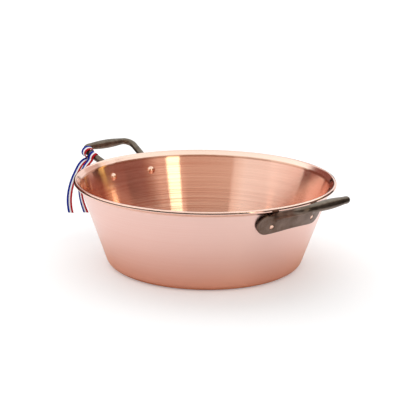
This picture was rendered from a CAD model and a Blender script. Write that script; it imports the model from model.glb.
import math
import bpy
import numpy as np
from mathutils import Matrix, Vector


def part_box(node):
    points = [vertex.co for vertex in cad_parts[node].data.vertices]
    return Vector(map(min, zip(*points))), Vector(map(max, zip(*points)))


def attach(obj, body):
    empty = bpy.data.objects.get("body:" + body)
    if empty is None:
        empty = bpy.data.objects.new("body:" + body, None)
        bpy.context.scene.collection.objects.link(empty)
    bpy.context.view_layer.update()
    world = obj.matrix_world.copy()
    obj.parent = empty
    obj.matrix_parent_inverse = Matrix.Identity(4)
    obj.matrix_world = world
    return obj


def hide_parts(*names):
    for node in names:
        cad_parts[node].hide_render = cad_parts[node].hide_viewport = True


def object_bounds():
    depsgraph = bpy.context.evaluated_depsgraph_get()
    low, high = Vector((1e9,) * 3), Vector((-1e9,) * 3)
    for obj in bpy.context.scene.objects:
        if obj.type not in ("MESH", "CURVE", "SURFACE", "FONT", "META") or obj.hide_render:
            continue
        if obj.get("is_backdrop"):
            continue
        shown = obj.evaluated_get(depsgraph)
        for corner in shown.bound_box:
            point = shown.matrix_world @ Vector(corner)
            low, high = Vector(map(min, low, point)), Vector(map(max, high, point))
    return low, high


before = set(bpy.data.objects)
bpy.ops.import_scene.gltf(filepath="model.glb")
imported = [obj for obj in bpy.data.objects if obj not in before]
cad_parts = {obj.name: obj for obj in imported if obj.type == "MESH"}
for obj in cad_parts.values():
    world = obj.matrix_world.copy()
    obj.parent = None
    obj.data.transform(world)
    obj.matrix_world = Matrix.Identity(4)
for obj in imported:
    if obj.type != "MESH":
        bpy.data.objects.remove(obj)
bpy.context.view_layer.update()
scene = bpy.context.scene

# Camera: a long lens at table height, looking down a little at the side of the pan,
# with the handle that carries no ribbon at the front right.
eye = Vector((1.1329, -1.0165, 0.4932))
turn_deg = (74.656, -0.763, 48.148)
focal_px = 1140.2
frame_px = 416
camera = bpy.data.objects.new("camera", bpy.data.cameras.new("camera"))
camera.location = eye
camera.rotation_euler = [math.radians(a) for a in turn_deg]
camera.data.sensor_width = 36.0
camera.data.lens = camera.data.sensor_width * focal_px / frame_px
camera.data.clip_start, camera.data.clip_end = 0.05, 20.0
scene.collection.objects.link(camera)
scene.camera = camera
scene.view_settings.view_transform = "Standard"


# Studio: a white table that runs into a white surround, one wide soft lamp above and to the
# left, and cards round the table that only shiny surfaces see, as a metalware set-up has.
def linear(text, alpha=1.0):
    """The linear colour of an sRGB hex value."""
    parts = [int(text[i:i + 2], 16) / 255 for i in (1, 3, 5)]
    return [p / 12.92 if p <= 0.04045 else ((p + 0.055) / 1.055) ** 2.4 for p in parts] + [alpha]


def add(tree, kind, links=None, **settings):
    """Adds a node, sets what settings names, and fills or links its inputs."""
    node = tree.nodes.new("ShaderNode" + kind)
    for name, value in settings.items():
        setattr(node, name, value)
    for socket, value in (links or {}).items():
        if isinstance(value, bpy.types.NodeSocket):
            tree.links.new(value, node.inputs[socket])
        else:
            node.inputs[socket].default_value = value
    return node


def new_material(name):
    """An empty material with its node tree."""
    material = bpy.data.materials.new(name)
    material.use_nodes = True
    material.node_tree.nodes.clear()
    return material, material.node_tree


def new_piece(name, points, faces, materials, smooth=True):
    """A mesh object in the scene, with its points in metres."""
    mesh = bpy.data.meshes.new(name)
    mesh.from_pydata([tuple(p) for p in points], [], faces)
    for material in materials:
        mesh.materials.append(material)
    mesh.polygons.foreach_set("use_smooth", [smooth] * len(mesh.polygons))
    piece = bpy.data.objects.new(name, mesh)
    scene.collection.objects.link(piece)
    return piece


# what the camera, gloss and glass see of the surround; plain lamp light comes from the rest
world = bpy.data.worlds.new("white_surround")
world.use_nodes = True
scene.world = world
tree = world.node_tree
tree.nodes.clear()
path = add(tree, "LightPath")
seen = add(tree, "Math", {0: path.outputs["Is Camera Ray"], 1: path.outputs["Is Glossy Ray"]},
           operation="MAXIMUM")
seen = add(tree, "Math", {0: seen.outputs[0], 1: path.outputs["Is Transmission Ray"]}, operation="MAXIMUM")
fill_level = 0.82
plain = add(tree, "Background", {"Color": (1, 1, 1, 1), "Strength": fill_level})
white = add(tree, "Background", {"Color": (1, 1, 1, 1), "Strength": 1.0})
mixed = add(tree, "MixShader", {0: seen.outputs[0], 1: plain.outputs[0], 2: white.outputs[0]})
add(tree, "OutputWorld", {"Surface": mixed.outputs[0]})

# the table is matt white paper, lifted to white where the camera sees it unshaded; gloss sees
# it as a lit table is, dimmer and warmer round the pan than further out
table_half = 6.0
warm_to, white_from, haze_from = 0.14, 0.22, 0.25
paper, tree = new_material("white_paper_sweep")
path = add(tree, "LightPath")
matt = add(tree, "BsdfDiffuse", {"Color": linear("#DCDCDC")})
bright = add(tree, "BsdfDiffuse", {"Color": linear("#F4F4F4")})
glow = add(tree, "Emission", {"Color": (1, 1, 1, 1), "Strength": 0.22})
to_eye = add(tree, "AddShader", {0: bright.outputs[0], 1: glow.outputs[0]})
place = add(tree, "TexCoord").outputs["Object"]
away = add(tree, "VectorMath", {0: place}, operation="LENGTH").outputs["Value"]
further = add(tree, "MapRange", {"Value": away, "From Min": warm_to, "From Max": white_from})
warm = add(tree, "Mix", {0: further.outputs[0], 6: linear("#ECC8B0"), 7: linear("#F4F4F4")},
           data_type="RGBA")
lit = add(tree, "BsdfDiffuse", {"Color": warm.outputs[2]})
haze = add(tree, "MapRange", {"Value": away, "From Min": warm_to, "From Max": haze_from, "To Max": 0.14})
haze = add(tree, "Emission", {"Color": (1, 1, 1, 1), "Strength": haze.outputs[0]})
to_gloss = add(tree, "AddShader", {0: lit.outputs[0], 1: haze.outputs[0]})
to_glass = add(tree, "Math", {0: path.outputs["Is Glossy Ray"], 1: path.outputs["Is Transmission Ray"]},
               operation="MAXIMUM")
mixed = add(tree, "MixShader", {0: path.outputs["Is Camera Ray"], 1: matt.outputs[0], 2: to_eye.outputs[0]})
mixed = add(tree, "MixShader", {0: to_glass.outputs[0], 1: mixed.outputs[0], 2: to_gloss.outputs[0]})
add(tree, "OutputMaterial", {"Surface": mixed.outputs[0]})
corners = [(x * table_half, y * table_half, 0) for x, y in ((-1, -1), (1, -1), (1, 1), (-1, 1))]
table = new_piece("table", corners, [(0, 1, 2, 3)], [paper], smooth=False)
table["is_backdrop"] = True

# bearings round the table are counted from the camera's, towards the right of the picture
to_camera = Vector((eye.x, eye.y, 0)).normalized()
to_right = Vector((-to_camera.y, to_camera.x, 0))


def bearing(degrees, distance, height):
    """The point at a bearing, in metres from the pan's axis and above the table."""
    a = math.radians(degrees)
    return (to_camera * math.cos(a) + to_right * math.sin(a)) * distance + Vector((0, 0, height))


# one wide soft lamp, high behind the pan and a little to the left
lamp = bpy.data.lights.new("soft_key", "SUN")
lamp.energy = 0.75
lamp.angle = math.radians(70)
key = bpy.data.objects.new("soft_key", lamp)
key.rotation_mode = "QUATERNION"
key.rotation_quaternion = (-bearing(-160, 1.0, 1.4)).to_track_quat("-Z", "Y")
key.visible_glossy = False
scene.collection.objects.link(key)

# the cards' face gives the light that its own colours say, with no other lamp on it
card_light, tree = new_material("lit_card")
tone = add(tree, "VertexColor", layer_name="tone").outputs["Color"]
glow = add(tree, "Emission", {"Color": tone, "Strength": 1.0})
add(tree, "OutputMaterial", {"Surface": glow.outputs[0]})


def card(name, distance, bottom, top, stops):
    """A card in an arc round the table that only gloss sees, between two heights at each bearing.
    Each stop is a bearing with the card's colour and brightness, which run evenly between stops."""
    at = np.array([stop[0] for stop in stops], float)
    tones = np.array([[c * stop[2] for c in linear(stop[1])[:3]] for stop in stops])
    bearings = np.unique(np.concatenate([np.arange(at[0], at[-1], 2.0), at]))
    points = [bearing(b, distance, edge(b)) for b in bearings for edge in (bottom, top)]
    faces = [(2 * k, 2 * k + 2, 2 * k + 3, 2 * k + 1) for k in range(len(bearings) - 1)]
    piece = new_piece(name, points, faces, [card_light], smooth=False)
    shown = [np.interp(bearings, at, tones[:, k]) for k in range(3)] + [np.ones(len(bearings))]
    layer = piece.data.color_attributes.new("tone", "FLOAT_COLOR", "POINT")
    layer.data.foreach_set("color", np.repeat(np.column_stack(shown), 2, axis=0).ravel())
    piece.visible_camera = piece.visible_diffuse = piece.visible_shadow = False
    piece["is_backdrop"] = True


def level(height):
    """A card's edge at one height all the way."""
    return lambda b: height


def cornice(b):
    """The height where the high walls end, lower towards the back on both sides."""
    if b > 0:
        return max(2.7, ceiling_z - 0.031 * max(b - 20, 0))
    return ceiling_z * (1 + b / 180) if b > -125 else ceiling_z


room, lamp_gap, eaves, ceiling_z = 5.0, 0.1, 2.6, 6.6
# low walls: what the pan's inner wall shows, in broad pale, brown and dark fields
card("low_wall_left", room, level(0), level(eaves), [
    (-170, "#B89080", 1), (-160, "#8A5850", 1), (-112, "#8A5850", 1), (-111, "#DFC9C2", 1.35),
    (-100, "#E6D2CA", 1.3), (-80, "#EDE0DA", 1.25), (-43, "#F6F1EC", 1.3), (-33, "#EADBD0", 1.3),
    (-28, "#DCC3B4", 1.3), (-27, "#D0B7A6", 1.5), (27, "#CEB4A2", 1.5)])
card("low_wall_right", room, level(0), level(eaves), [
    (40, "#D0B4A2", 1.6), (50, "#CEB09E", 1.5), (57, "#BE9886", 1.2), (62, "#AE8270", 1.1),
    (66, "#A06E60", 1), (70, "#94645A", 1), (116, "#8C5C52", 1), (125, "#7A5848", 1),
    (131, "#7A5848", 1), (132, "#DAC4BC", 1), (150, "#E4D4CE", 1)])
# two upright lamps: the pale streak left of the inside's middle and the golden one further left
card("strip_lamp", room - lamp_gap, level(0), level(3.8), [(27.5, "#FFFFDE", 2.6), (41, "#FFFFDE", 2.6)])
card("golden_lamp", room - lamp_gap, level(0.2), level(eaves),
     [(116, "#FFE08A", 1.4), (124.5, "#FFE08A", 1.4)])
# high walls and ceiling: what the lip, the crease and the tops of the handles show
card("high_wall_left", room, level(eaves), cornice, [
    (-72, "#BCA59D", 1), (-46, "#BCA59D", 1), (-45, "#D8C4B8", 1), (-31, "#D8C4B8", 1),
    (-30, "#B08C7A", 1), (27, "#B08C7A", 1)])
card("high_wall_right", room, level(eaves), cornice, [
    (27, "#C8A898", 1), (50, "#C8A898", 1), (62, "#B89080", 1), (63, "#A07060", 1), (108, "#A07060", 1)])
card("ceiling", room, cornice, level(ceiling_z), [(-180, "#EAFAFA", 1.65), (180, "#EAFAFA", 1.65)])
# the ceiling closes to a point over the pan and is dimmer there
ceiling = bpy.data.objects["ceiling"].data
for vertex, shown in list(zip(ceiling.vertices, ceiling.color_attributes["tone"].data))[1::2]:
    vertex.co = Vector((0, 0, ceiling_z))
    shown.color = (0.75, 0.8, 0.8, 1)
# black cards close to the pan: the dark line along the front of the rolled rim
dark, dark_at, dark_foot = "#100A08", 0.29, 0.07
for name, start, end, top in (("dark_room_camera", -34, 26, level(0.2)),
                              ("dark_room_left", -150, -34, lambda b: 0.165 if b > -90 else 0.155),
                              ("dark_room_right", 34, 108, lambda b: 0.19 if b < 75 else 0.175),
                              ("dark_room_end", 130, 165, level(0.16))):
    card(name, dark_at, level(dark_foot), top, [(start, dark, 1), (end, dark, 1)])

# Pan: one round blank of copper sheet, spun over a former to a flat bottom and a sloping wall.
# The inside keeps the fine rings of the last brushing, the outside is buffed to a satin,
# and the lip is rolled outwards over a wire and polished.
mm = 0.001
rim_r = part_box("pan_body")[1].x / mm
pan_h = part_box("pan_body")[1].z / mm
base_r = 133.5
sheet_t = 1.2
corner_r = 14.0
wire_d = 2.5
wire_gap = 0.05
crease_in = 8.0
crease_drop = 7.5
crease_r = 12.0
roll_turn = 288

roll_r = wire_d / 2 + wire_gap + sheet_t / 2
bead = np.array([rim_r - roll_r - sheet_t / 2, pan_h - roll_r - sheet_t / 2])
crease_x, crease_z = rim_r - crease_in, pan_h - crease_drop
lean = math.atan2(crease_x - base_r, crease_z)


def wall_r(z):
    """Radius of the wall's outer face at a height."""
    return base_r + z * math.tan(lean)


def arc(centre, r, start, sweep, steps):
    """Points of a round stretch, with its angles in degrees."""
    a = np.radians(start + sweep * np.arange(steps + 1) / steps)
    return centre + r * np.column_stack([np.cos(a), np.sin(a)])


def rounded(before, corner, after, r, steps):
    """The corner between two lines, rounded with radius r."""
    da, db = before - corner, after - corner
    da, db = da / np.linalg.norm(da), db / np.linalg.norm(db)
    half = math.acos(da @ db) / 2
    centre = corner + (da + db) / np.linalg.norm(da + db) * r / math.sin(half)
    first, last = corner + da * r / math.tan(half) - centre, corner + db * r / math.tan(half) - centre
    start = math.degrees(math.atan2(first[1], first[0]))
    sweep = (math.degrees(math.atan2(last[1], last[0])) - start + 180) % 360 - 180
    return arc(centre, r, start, sweep, steps)


mid_shift = sheet_t / 2 / math.cos(lean)
middle = np.array([0, sheet_t / 2])
sharp = np.array([base_r - mid_shift + sheet_t / 2 * math.tan(lean), sheet_t / 2])
crease = np.array([crease_x - mid_shift, crease_z])
lip = bead - crease
lip_deg = math.degrees(math.atan2(lip[1], lip[0]) + math.asin(roll_r / np.linalg.norm(lip)))
roll = arc(bead, roll_r, lip_deg + 90, -roll_turn, 40)
corner = rounded(middle, sharp, crease, corner_r - sheet_t / 2, 20)
bend = rounded(sharp, crease, roll[0], crease_r, 10)


def between(a, b, step):
    """The points of a straight stretch, without its ends."""
    n = max(2, round(np.linalg.norm(b - a) / step))
    return [a + (b - a) * i / n for i in range(1, n)]


line = np.array([middle, *between(middle, corner[0], 6), *corner, *between(corner[-1], bend[0], 4),
                 *bend, *between(bend[-1], roll[0], 1), *roll])
ways = np.diff(line, axis=0)
ways = ways / np.linalg.norm(ways, axis=1)[:, None]
into, out = np.vstack([ways[:1], ways]), np.vstack([ways, ways[-1:]])
mean = into + out
mean = mean / np.linalg.norm(mean, axis=1)[:, None]
normal = np.column_stack([mean[:, 1], -mean[:, 0]]) / np.sum(mean * out, axis=1)[:, None]
outer, inner = line + normal * sheet_t / 2, line - normal * sheet_t / 2
section = np.vstack([outer, inner[::-1]])


def lathe(profile, steps):
    """Points and faces of a closed profile turned about Z; points on the axis stay single."""
    points, rows, faces = [], [], []
    for r, z in profile:
        if r < 1e-6:
            rows.append([len(points)] * steps)
            points.append((0, 0, z * mm))
            continue
        rows.append(list(range(len(points), len(points) + steps)))
        turns = [2 * math.pi * k / steps for k in range(steps)]
        points += [(r * mm * math.cos(a), r * mm * math.sin(a), z * mm) for a in turns]
    for a, b in zip(rows, rows[1:] + rows[:1]):
        for k in range(steps):
            corners = [a[k], a[(k + 1) % steps], b[(k + 1) % steps], b[k]]
            corners = [c for i, c in enumerate(corners) if c != corners[i - 1]]
            if len(corners) > 2:
                faces.append(corners)
    return points, faces


def ring_lines(tree, spacing, length):
    """Noise in long thin rings round the pan, with their spacing and length in millimetres."""
    place = add(tree, "TexCoord").outputs["Object"]
    flat = add(tree, "VectorMath", {0: place, 1: (1, 1, 0)}, operation="MULTIPLY").outputs[0]
    way = add(tree, "VectorMath", {0: flat}, operation="NORMALIZE").outputs[0]
    radius = add(tree, "VectorMath", {0: flat}, operation="LENGTH").outputs["Value"]
    height = add(tree, "SeparateXYZ", {0: place}).outputs["Z"]
    up = add(tree, "Math", {0: radius, 1: height}, operation="ADD").outputs[0]
    up = add(tree, "Math", {0: up, 1: 1 / (spacing * mm)}, operation="MULTIPLY").outputs[0]
    up = add(tree, "CombineXYZ", {"Z": up}).outputs[0]
    around = add(tree, "VectorMath", {0: way, "Scale": wall_r(70) / length}, operation="SCALE").outputs[0]
    vector = add(tree, "VectorMath", {0: around, 1: up}, operation="ADD").outputs[0]
    return add(tree, "TexNoise", {"Vector": vector, "Scale": 1.0, "Detail": 2.0}).outputs[0]


def copper(name, color, worn, roughness, anisotropic, spacing, length, depth):
    """Bare copper, whose tone and bump follow fine rings of the given size in millimetres."""
    material, tree = new_material(name)
    rings = ring_lines(tree, spacing, length)
    fine = ring_lines(tree, spacing / 4, length / 2)
    both = add(tree, "Math", {0: rings, 1: fine}, operation="ADD").outputs[0]
    tone = add(tree, "MapRange", {"Value": both, "From Min": 0.75, "From Max": 1.25}).outputs[0]
    # the brush was pressed harder on one side of the pan, so the rings are fainter on the other
    place = add(tree, "TexCoord").outputs["Object"]
    side = add(tree, "VectorMath", {0: place, 1: (0.67, 0.74, 0)}, operation="DOT_PRODUCT").outputs["Value"]
    faint = add(tree, "MapRange", {"Value": side, "From Min": -0.04, "From Max": 0.05, "To Max": 0.75})
    tone = add(tree, "Mix", {0: faint.outputs[0], 2: tone, 3: 0.8}).outputs[0]
    shade = add(tree, "Mix", {0: tone, 6: linear(worn), 7: linear(color)}, data_type="RGBA").outputs[2]
    rough = add(tree, "MapRange", {"Value": both, "From Min": 0.7, "From Max": 1.3,
                                   "To Min": roughness + 0.01, "To Max": roughness - 0.01}).outputs[0]
    bump = add(tree, "Bump", {"Strength": 1.0, "Distance": depth * mm, "Height": both}).outputs[0]
    # the scratches run round the pan, so a reflection smears up and down the wall
    round_z = add(tree, "Tangent", direction_type="RADIAL", axis="Z").outputs[0]
    shader = add(tree, "BsdfPrincipled", {"Base Color": shade, "Metallic": 1.0, "Roughness": rough,
                                          "Anisotropic": anisotropic, "Anisotropic Rotation": 0.25,
                                          "Normal": bump, "Tangent": round_z})
    add(tree, "OutputMaterial", {"Surface": shader.outputs[0]})
    return material


# satin outside: a soft pink metal with no sharp reflection, its rings too fine to tell apart
satin = copper("satin_buffed_copper", "#FBD6CC", "#F8CFC4", 0.3, 0.8, 1.2, 400, 0.0008)
# brushed inside: clear streaks of light up the wall, crossed by fine darker rings; the rings are
# drawn 2.4 mm apart, coarser than real ones, so that they show
brushed = copper("ring_brushed_copper", "#FEDCCC", "#E6A892", 0.15, 1.0, 2.4, 900, 0.001)
# polished lip: a bright pale band, with a sharp highlight along the roll
polished = copper("polished_copper_lip", "#FAD2C2", "#F6CAB8", 0.15, 0.9, 1.5, 400, 0.0008)
# the buff doesn't reach into the crease, which stays a darker line under the lip
unbuffed = copper("unbuffed_crease", "#E2B49E", "#D4A28C", 0.15, 1.0, 2.4, 900, 0.001)
unbuffed_from, unbuffed_to, lip_from = -3.4, 1.6, -1.0

points, faces = lathe(section, 288)
pan = new_piece("spun_pan", points, faces, [satin, brushed, polished, unbuffed])
for face in pan.data.polygons:
    heights = [pan.data.vertices[v].co.z / mm for v in face.vertices]
    radii = [math.hypot(pan.data.vertices[v].co.x, pan.data.vertices[v].co.y) / mm for v in face.vertices]
    r, z = sum(radii) / len(radii), sum(heights) / len(heights)
    on_lip = z - crease_z > lip_from
    inside = (r - wall_r(z)) * math.cos(lean) < -sheet_t / 2 and z > sheet_t / 2
    in_crease = inside and unbuffed_from < z - crease_z < unbuffed_to
    face.material_index = 3 if in_crease else 2 if on_lip else 1 if inside else 0
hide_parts("pan_body")
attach(pan, "root")

# Rim wire: a ring of drawn steel wire that stiffens the rim. The lip is rolled round it and
# holds it, and it is seen only where the roll ends. Drawn steel gives a plain grey glint.
steel, tree = new_material("drawn_steel_wire")
scale = add(tree, "TexNoise", {"Scale": 2000.0, "Detail": 3.0}).outputs[0]
tone = add(tree, "Mix", {0: scale, 6: linear("#8A8A88"), 7: linear("#A6A6A4")}, data_type="RGBA").outputs[2]
shader = add(tree, "BsdfPrincipled", {"Base Color": tone, "Metallic": 1.0, "Roughness": 0.35})
add(tree, "OutputMaterial", {"Surface": shader.outputs[0]})
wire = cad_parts["rim_wire"]
wire.data.materials.clear()
wire.data.materials.append(steel)

# Handles: bronze cast in sand, each in one piece with the curved plate that is riveted to the
# wall, two arms and a grip that swells like a cigar. Tumbled smooth, then left with a dark
# patina, which is thinner where hands and edges rub.
plate_l, plate_w, plate_t, waist = 113.0, 28.5, 5.0, 3.0
root_span, grip_span, reach, rise = 68.0, 90.0, 58.0, 22.5
arm_d, grip_d, bend_r = 9.6, 13.2, 13.0
flare_d, flare_l, flare_in = 17.0, 9.0, 7.0
seat_gap, crease_gap = 0.1, 1.1
edge_r, fillet, cut_r = 1.2, 4.0, 0.5
rivet_d, rivet_span, rivet_drop, shank_gap = 6.0, 71.0, 3.0, 0.3

plate_z = crease_z - crease_gap - plate_w / 2 * math.cos(lean)
rivet_z = plate_z - rivet_drop * math.cos(lean)
root_z = plate_z + (plate_w / 2 - arm_d / 2 - 0.2) * math.cos(lean)
root_x = math.sqrt(wall_r(root_z) ** 2 - (root_span / 2) ** 2) + plate_t / 4
rivet_turn = math.asin(rivet_span / 2 / wall_r(rivet_z))
bar_tilt = math.atan2(rise, reach)
bar_u = math.hypot(reach, rise)
splay = math.atan2((grip_span - root_span) / 2, bar_u)
bend_turn = math.pi / 2 + splay
bend_cut = bend_r * math.tan(bend_turn / 2)
bend_s = math.hypot(bar_u, (grip_span - root_span) / 2) - bend_cut
bend_u, bend_v = bar_u - bend_r, grip_span / 2 - bend_cut


def smooth_max(a, b, k):
    """The larger of two distances, with the edge where they meet rounded over k."""
    h = np.clip(0.5 + (a - b) / (2 * k), 0, 1)
    return b + (a - b) * h + k * h * (1 - h)


def plate_distance(x, y, z):
    """Distance to the plate: a waisted outline with round ends, bent round the wall."""
    r = np.hypot(x, y)
    out = (r - wall_r(z)) * math.cos(lean)
    up = (z - plate_z) * math.cos(lean) + (r - wall_r(plate_z)) * math.sin(lean)
    along = np.abs(np.arctan2(y, x)) * wall_r(plate_z)
    straight = (plate_l - plate_w) / 2
    drawn_in = waist * np.clip(1 - (along / (straight + 4)) ** 2, 0, 1) ** 2
    outline = np.hypot(np.maximum(along - straight, 0), up - np.where(up < 0, drawn_in, 0)) - plate_w / 2
    side = outline + edge_r
    face = out - seat_gap - plate_t + edge_r
    return np.minimum(np.maximum(side, face), 0) + np.hypot(np.maximum(side, 0), np.maximum(face, 0)) - edge_r


def bar_distance(x, y, z):
    """Distance to the bar: arm with its flare, bend and half of the grip, mirrored at y = 0."""
    u = (x - root_x) * math.cos(bar_tilt) + (z - root_z) * math.sin(bar_tilt)
    q = (z - root_z) * math.cos(bar_tilt) - (x - root_x) * math.sin(bar_tilt)
    v = np.abs(y)
    s = u * math.cos(splay) + (v - root_span / 2) * math.sin(splay)
    s = np.clip(s, -2 * flare_in, bend_s)
    flare = np.clip((flare_l - s) / (flare_l + flare_in), 0, 1) ** 1.7
    arm = np.hypot(np.hypot(u - s * math.cos(splay), v - root_span / 2 - s * math.sin(splay)), q)
    arm = arm - arm_d / 2 - (flare_d - arm_d) / 2 * flare
    a = np.clip(np.arctan2(v - bend_v, u - bend_u), 0, bend_turn)
    bend = np.hypot(np.hypot(u - bend_u - bend_r * np.cos(a), v - bend_v - bend_r * np.sin(a)), q) - arm_d / 2
    g = np.clip(v, 0, bend_v)
    swell = (grip_d - arm_d) / 2 * (1 - (g / bend_v) ** 2) ** 1.2
    grip = np.hypot(np.hypot(u - bar_u, v - g), q) - arm_d / 2 - swell
    return np.minimum(np.minimum(arm, bend), grip)


def handle_distance(p):
    """Distance to the surface of the front handle at points in millimetres."""
    x, y, z = p[:, 0], p[:, 1], p[:, 2]
    r = np.hypot(x, y)
    solid = -smooth_max(-plate_distance(x, y, z), -bar_distance(x, y, z), fillet)
    # the back is dressed to fit the wall, the crease and the lip
    wall = seat_gap - (r - wall_r(z)) * math.cos(lean)
    tip = math.radians(lip_deg)
    lip_face = seat_gap + sheet_t / 2 - (r - crease[0]) * math.sin(tip) + (z - crease[1]) * math.cos(tip)
    solid = smooth_max(solid, smooth_max(wall, lip_face, 2.2), cut_r)
    # the rivet holes
    along = np.abs(np.arctan2(y, x)) - rivet_turn
    up = (z - rivet_z) / math.cos(lean) + (r - wall_r(z)) * math.sin(lean)
    hole = rivet_d / 2 + shank_gap - np.hypot(along * r, up)
    return smooth_max(solid, hole, cut_r)


probe_step = 0.02


def skin(distance, low, high, step):
    """A closed quad mesh on the surface where distance is zero, with its points about step apart."""
    axes = [np.arange(a, b + step, step) for a, b in zip(low, high)]
    size = [len(a) for a in axes]
    grid = np.stack(np.meshgrid(*axes, indexing="ij"), -1).reshape(-1, 3)
    inside = (distance(grid) < 0).reshape(size)
    cells = inside[:-1, :-1, :-1].astype(int)
    for dx, dy, dz in ((1, 0, 0), (0, 1, 0), (0, 0, 1), (1, 1, 0), (1, 0, 1), (0, 1, 1), (1, 1, 1)):
        cells = cells + inside[dx:size[0] - 1 + dx, dy:size[1] - 1 + dy, dz:size[2] - 1 + dz]
    mixed = (cells > 0) & (cells < 8)
    index = np.full(mixed.shape, -1)
    index[mixed] = np.arange(mixed.sum())
    points = np.argwhere(mixed) * step + np.array(low) + step / 2
    faces = []
    for axis in range(3):
        first = np.moveaxis(inside, axis, 0)
        which = np.moveaxis(index, axis, 0)
        if axis == 1:
            first, which = first.swapaxes(1, 2), which.swapaxes(1, 2)
        enters = np.argwhere(first[:-1, 1:-1, 1:-1] != first[1:, 1:-1, 1:-1])
        i, j, k = enters.T
        quad = np.column_stack([which[i, j, k], which[i, j + 1, k],
                                which[i, j + 1, k + 1], which[i, j, k + 1]])
        leaves = first[i, j + 1, k + 1]
        faces.append(np.where(leaves[:, None], quad, quad[:, ::-1]))
    faces = np.vstack(faces)
    ends = np.vstack([faces[:, [0, 1]], faces[:, [1, 2]], faces[:, [2, 3]], faces[:, [3, 0]]])
    count = np.bincount(ends.ravel(), minlength=len(points))[:, None]
    for relax in (0.5, 0.5, 0.4, 0.3, 0.0):
        total = np.zeros_like(points)
        np.add.at(total, ends[:, 0], points[ends[:, 1]])
        np.add.at(total, ends[:, 1], points[ends[:, 0]])
        points = points + (total / count - points) * relax
        for _ in range(3):
            h = probe_step
            slope = np.column_stack([(distance(points + d) - distance(points - d)) / (2 * h)
                                     for d in np.eye(3) * h])
            length = np.maximum(np.sum(slope ** 2, axis=1), 0.05)
            points = points - slope * np.clip(distance(points) / length, -step, step)[:, None]
    return points, faces


# sand-cast bronze: a dark brown-grey metal with a dull sheen, mottled by the patina and a little
# uneven from the sand, whose grains are drawn 1.2 mm wide so that they show
bronze, tree = new_material("sand_cast_bronze")
place = add(tree, "TexCoord").outputs["Object"]
grain = add(tree, "TexNoise", {"Vector": place, "Scale": 1 / (1.2 * mm), "Detail": 4.0,
                               "Roughness": 0.7}).outputs[0]
cloud = add(tree, "TexNoise", {"Vector": place, "Scale": 1 / (14 * mm), "Detail": 2.0}).outputs[0]
both = add(tree, "Mix", {0: 0.5, 2: grain, 3: cloud}).outputs[0]
tone = add(tree, "MapRange", {"Value": both, "From Min": 0.35, "From Max": 0.65}).outputs[0]
bar = add(tree, "Mix", {0: tone, 6: linear("#5C4C40"), 7: linear("#8C7C70")}, data_type="RGBA").outputs[2]
plate = add(tree, "Mix", {0: tone, 6: linear("#624E42"), 7: linear("#8C786E")}, data_type="RGBA").outputs[2]
# the patina is thinner on the plate's face and thickest in the corner where it meets the wall
zones = add(tree, "SeparateColor", {0: add(tree, "VertexColor", layer_name="zones").outputs["Color"]}).outputs
shade = add(tree, "Mix", {0: zones["Green"], 6: bar, 7: plate}, data_type="RGBA").outputs[2]
shade = add(tree, "Mix", {0: zones["Red"], 6: shade, 7: linear("#241812")}, data_type="RGBA").outputs[2]
rough = add(tree, "MapRange", {"Value": grain, "To Min": 0.3, "To Max": 0.46}).outputs[0]
bump = add(tree, "Bump", {"Strength": 1.0, "Distance": 0.06 * mm, "Height": grain}).outputs[0]
shader = add(tree, "BsdfPrincipled", {"Base Color": shade, "Metallic": 0.9, "Roughness": rough,
                                      "Normal": bump})
add(tree, "OutputMaterial", {"Surface": shader.outputs[0]})

grid_step = 0.75
low, high = (140, -66, 76), (236, 66, 142)
points, faces = skin(handle_distance, low, high, grid_step)
off_wall = (np.hypot(points[:, 0], points[:, 1]) - wall_r(points[:, 2])) * math.cos(lean)
corner_end, corner_fade, plate_end, plate_fade = 4.2, 2.0, 7.0, 1.5
zone_tones = np.column_stack([np.clip((corner_end - off_wall) / corner_fade, 0, 1),
                              np.clip((plate_end - off_wall) / plate_fade, 0, 1),
                              np.zeros(len(points)), np.ones(len(points))])
for name, side in (("cast_handle_front", 1), ("cast_handle_rear", -1)):
    handle = new_piece(name, points * mm * (side, side, 1), faces.tolist(), [bronze])
    layer = handle.data.color_attributes.new("zones", "FLOAT_COLOR", "POINT")
    layer.data.foreach_set("color", zone_tones.ravel())
    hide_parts(name.replace("cast_", ""))
    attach(handle, "root")

# Rivets: soft copper. The head inside the pan is domed by the setting tool, and the shank goes
# out through the wall and the plate, where its hammered end stands just above the plate's face.
head_d, head_h, rivet_proud, head_edge, end_dome = 11.4, 3.8, 0.3, 0.4, 0.7

# copper from a polished tool: a near mirror, with shallow dents about 2 mm wide
rivet_copper, tree = new_material("tool_set_copper")
place = add(tree, "TexCoord").outputs["Object"]
dents = add(tree, "TexNoise", {"Vector": place, "Scale": 1 / (2 * mm), "Detail": 1.0}).outputs[0]
bump = add(tree, "Bump", {"Strength": 1.0, "Distance": 0.05 * mm, "Height": dents}).outputs[0]
shade = add(tree, "Mix", {0: dents, 6: linear("#F4BEA2"), 7: linear("#FFDCCC")}, data_type="RGBA").outputs[2]
shader = add(tree, "BsdfPrincipled", {"Base Color": shade, "Metallic": 1.0, "Roughness": 0.05,
                                      "Normal": bump})
add(tree, "OutputMaterial", {"Surface": shader.outputs[0]})

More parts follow.
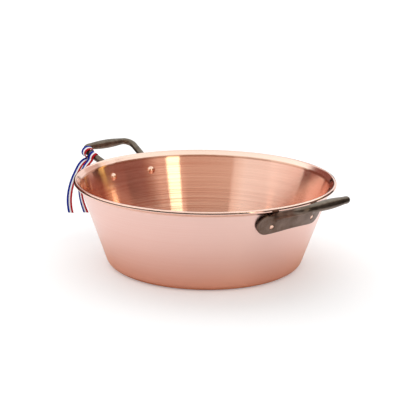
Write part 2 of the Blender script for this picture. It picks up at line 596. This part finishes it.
head_r = ((head_d / 2) ** 2 + head_h ** 2) / (2 * head_h)
head_face = -sheet_t - seat_gap - (head_d / 2) ** 2 / (2 * wall_r(rivet_z))
shank_end = seat_gap + plate_t + rivet_proud
dome_deg = math.degrees(math.asin(head_d / 2 / head_r))
end_r = ((rivet_d / 2) ** 2 + end_dome ** 2) / (2 * end_dome)
end_deg = math.degrees(math.asin(rivet_d / 2 / end_r))
dome = arc(np.array([0, head_face - head_h + head_r]), head_r, -90, dome_deg - 4, 12)
rolled_edge = arc(np.array([head_d / 2 - head_edge, head_face - head_edge]), head_edge, -20, 110, 4)
shank = np.array([[rivet_d / 2, head_face], [rivet_d / 2, shank_end - end_dome]])
end = arc(np.array([0, shank_end - end_r]), end_r, 90 - end_deg, end_deg, 6)
profile = np.vstack([dome, rolled_edge, shank, end])
profile[np.abs(profile[:, 0]) < 1e-3, 0] = 0
for side, place_name in ((0, "front"), (math.pi, "rear")):
    for s, hand in ((-1, "left"), (1, "right")):
        points, faces = lathe(profile, 40)
        turn = Matrix.Rotation(side + s * rivet_turn, 4, "Z")
        move = Matrix.Translation((wall_r(rivet_z) * mm, 0, rivet_z * mm))
        tip = Matrix.Rotation(math.pi / 2 + lean, 4, "Y")
        points = [turn @ move @ tip @ Vector(p) for p in points]
        rivet = new_piece(f"copper_rivet_{place_name}_{hand}", points, faces, [rivet_copper])
        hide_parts(f"rivet_{place_name}_{hand}")
        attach(rivet, "root")

# Ribbon: one strip of woven satin, cut straight at both ends, blue, white and red along its
# length. It hangs, passes under the bar at the bend, goes round it once more nearer the pan,
# and hangs again.
ribbon_w, ribbon_t, turn_gap = 10.0, 0.24, 3.8
wrap_start, wrap_slack, tail_drop, wrap_gap, cad_ribbon_t = 51.5, 1.0, 80.0, 0.5, 0.5
wrap_pitch = ribbon_w + turn_gap
wrap_end = wrap_start - wrap_pitch
turned_b, end_turn = 40, 20
# angle round the bar (0 is its outer side, 90 its top), length along the bar, looseness
wrap_stops = np.array([
    [270, wrap_start - 4, wrap_slack + 4.6],
    [180, wrap_start + 1.5, wrap_slack + 2.5],
    [90, wrap_start, wrap_slack],
    [0, wrap_start - wrap_pitch * 0.15, wrap_slack + 2.4],
    [-90, wrap_start - wrap_pitch * 0.5, wrap_slack + 0.4],
    [-180, wrap_end + wrap_pitch * 0.06, 0.1],
    [-270, wrap_end, 0],
    [-380, wrap_end - wrap_pitch * 0.1, wrap_slack + 1]])
# sideways and down from where each tail leaves the winding
tail_a = [(6, 1.5), (13, 6.5), (19, 14.5), (26.5, 27), (31.5, 40), (34, 53), (34, 65), (32, 77)]
tail_b = [(3.5, 4), (10, 10), (16, 18.5), (19, 29), (20, 41), (18.5, 54), (15, 67), (10, 80)]


def unit(v):
    return v / np.linalg.norm(v, axis=-1, keepdims=True)


def tilted(u, v):
    """A direction in the bar's plane, turned into the part's frame."""
    return np.array([u * math.cos(bar_tilt), v, u * math.sin(bar_tilt)])


bar_up = np.array([-math.sin(bar_tilt), 0, math.cos(bar_tilt)])


def bar_at(s):
    """The bar's axis and its direction at the length s from the arm's root."""
    root = np.array([root_x, 0, root_z])
    if s < bend_s:
        return (root + tilted(s * math.cos(splay), root_span / 2 + s * math.sin(splay)),
                tilted(math.cos(splay), math.sin(splay)))
    a = bend_turn - (s - bend_s) / bend_r
    return (root + tilted(bend_u + bend_r * math.cos(a), bend_v + bend_r * math.sin(a)),
            tilted(math.sin(a), -math.cos(a)))


def wrap_values(a):
    """Length along the bar and looseness at the angle a, run smoothly from stop to stop."""
    i = min(int(np.sum(wrap_stops[:, 0] >= a)), len(wrap_stops) - 1) - 1
    p, q = wrap_stops[i], wrap_stops[i + 1]
    t = (a - p[0]) / (q[0] - p[0])
    eased = (1 - math.cos(math.pi * t)) / 2
    return p[1] + (q[1] - p[1]) * t, p[2] + (q[2] - p[2]) * eased


def spline(p, n):
    """A curve through the points p, with n steps from each to the next."""
    p = np.array([p[0], *p, p[-1]])
    t = (np.arange(n) / n)[:, None]
    rows = [0.5 * (2 * b + (c - a) * t + (2 * a - 5 * b + 4 * c - d) * t ** 2
                   + (3 * b - a - 3 * c + d) * t ** 3)
            for a, b, c, d in zip(p, p[1:], p[2:], p[3:])]
    return np.vstack(rows + [p[-1:]])


turn_steps, tail_steps, across_steps = 60, 6, 8
wrap_first, wrap_last = wrap_stops[0, 0], wrap_stops[-1, 0]
wrap_angles = np.linspace(wrap_first, wrap_last, round((wrap_first - wrap_last) / 360 * turn_steps) + 1)
wound, wound_wide = [], []
for a in wrap_angles:
    s, loose = wrap_values(a)
    axis, way = bar_at(s)
    side = np.cross(bar_up, way)
    turn = math.radians(a)
    radius = arm_d / 2 + wrap_gap + cad_ribbon_t / 2 + loose
    wound.append(axis + radius * (math.cos(turn) * side + math.sin(turn) * bar_up))
    wound_wide.append(way)
wound, wound_wide = np.array(wound), np.array(wound_wide)


def hung(tail, start, lead):
    """The points of a tail that leaves the winding at start, coming from lead."""
    places = [start + (0, across, -down * tail_drop / 80) for across, down in tail]
    return spline([lead, start, *places], tail_steps)[tail_steps + 1:]


hang_a = hung(tail_a, wound[0], wound[4])[::-1]
hang_b = hung(tail_b, wound[-1], wound[-5])
route = np.vstack([hang_a, wound, hang_b])


def tail_wide(wound, share, turned):
    """The way across a tail: as in the winding at first, level and outwards at the cut end."""
    a = np.radians(turned) * share - np.radians(end_turn) * (1 - share)
    return wound * share ** 2 + np.hstack([np.cos(a), -np.sin(a), 0 * a]) * (1 - share ** 2)


share_a = np.linspace(0, 1, len(hang_a), endpoint=False)[:, None]
share_b = np.linspace(1, 0, len(hang_b) + 1)[1:, None]
wide = np.vstack([tail_wide(wound_wide[0], share_a, 0), wound_wide,
                  tail_wide(wound_wide[-1], share_b, turned_b)])
way = unit(np.gradient(route, axis=0))
wide = unit(wide - np.sum(wide * way, axis=1)[:, None] * way)
face = np.cross(way, wide)

points, faces = [], []
across = np.linspace(-1, 1, across_steps + 1)
cup = 0.25
for x in across:
    for layer in (1, -1):
        points.append(route + wide * x * ribbon_w / 2 + face * (layer * ribbon_t / 2 + cup * (x * x - 0.4)))
rows, length = len(points), len(route)
points = np.vstack(points) * (-1, -1, 1) * mm
# the section's outline: along the front from one edge to the other, and back along the rear
ring = [2 * k for k in range(across_steps + 1)] + [2 * k + 1 for k in range(across_steps, -1, -1)]
for a, b in zip(ring, ring[1:] + ring[:1]):
    for i in range(length - 1):
        faces.append((a * length + i, b * length + i, b * length + i + 1, a * length + i + 1))
for i in (0, length - 1):
    for k in range(across_steps):
        quad = [2 * k, 2 * k + 1, 2 * k + 3, 2 * k + 2]
        faces.append([c * length + i for c in (quad if i else quad[::-1])])

# woven satin: even, clear colours with almost no gloss at this size, changing sharply at each stripe
ribbon_satin, tree = new_material("striped_satin")
stripe = add(tree, "UVMap", uv_map="cut").outputs[0]
place = add(tree, "SeparateXYZ", {0: stripe})
ramp = add(tree, "ValToRGB", {0: place.outputs["X"]})
ramp.color_ramp.interpolation = "CONSTANT"
for k, (start, color) in enumerate(((0, "#B80818"), (0.37, "#FAFAFC"), (0.63, "#02208E"))):
    stop = ramp.color_ramp.elements[0] if k == 0 else ramp.color_ramp.elements.new(start)
    stop.position, stop.color = start, linear(color)
shader = add(tree, "BsdfPrincipled", {"Base Color": ramp.outputs[0], "Roughness": 0.6,
                                      "Specular IOR Level": 0.1})
add(tree, "OutputMaterial", {"Surface": shader.outputs[0]})

ribbon = new_piece("satin_ribbon", points, faces, [ribbon_satin])
cut = ribbon.data.uv_layers.new(name="cut")
run = np.concatenate([[0], np.cumsum(np.linalg.norm(np.diff(route, axis=0), axis=1))])
corners = np.array([loop.vertex_index for loop in ribbon.data.loops])
places = np.column_stack([(across[corners // length // 2] + 1) / 2, run[corners % length] / ribbon_w])
cut.data.foreach_set("uv", places.ravel())
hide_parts("ribbon")
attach(ribbon, "root")

low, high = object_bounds()
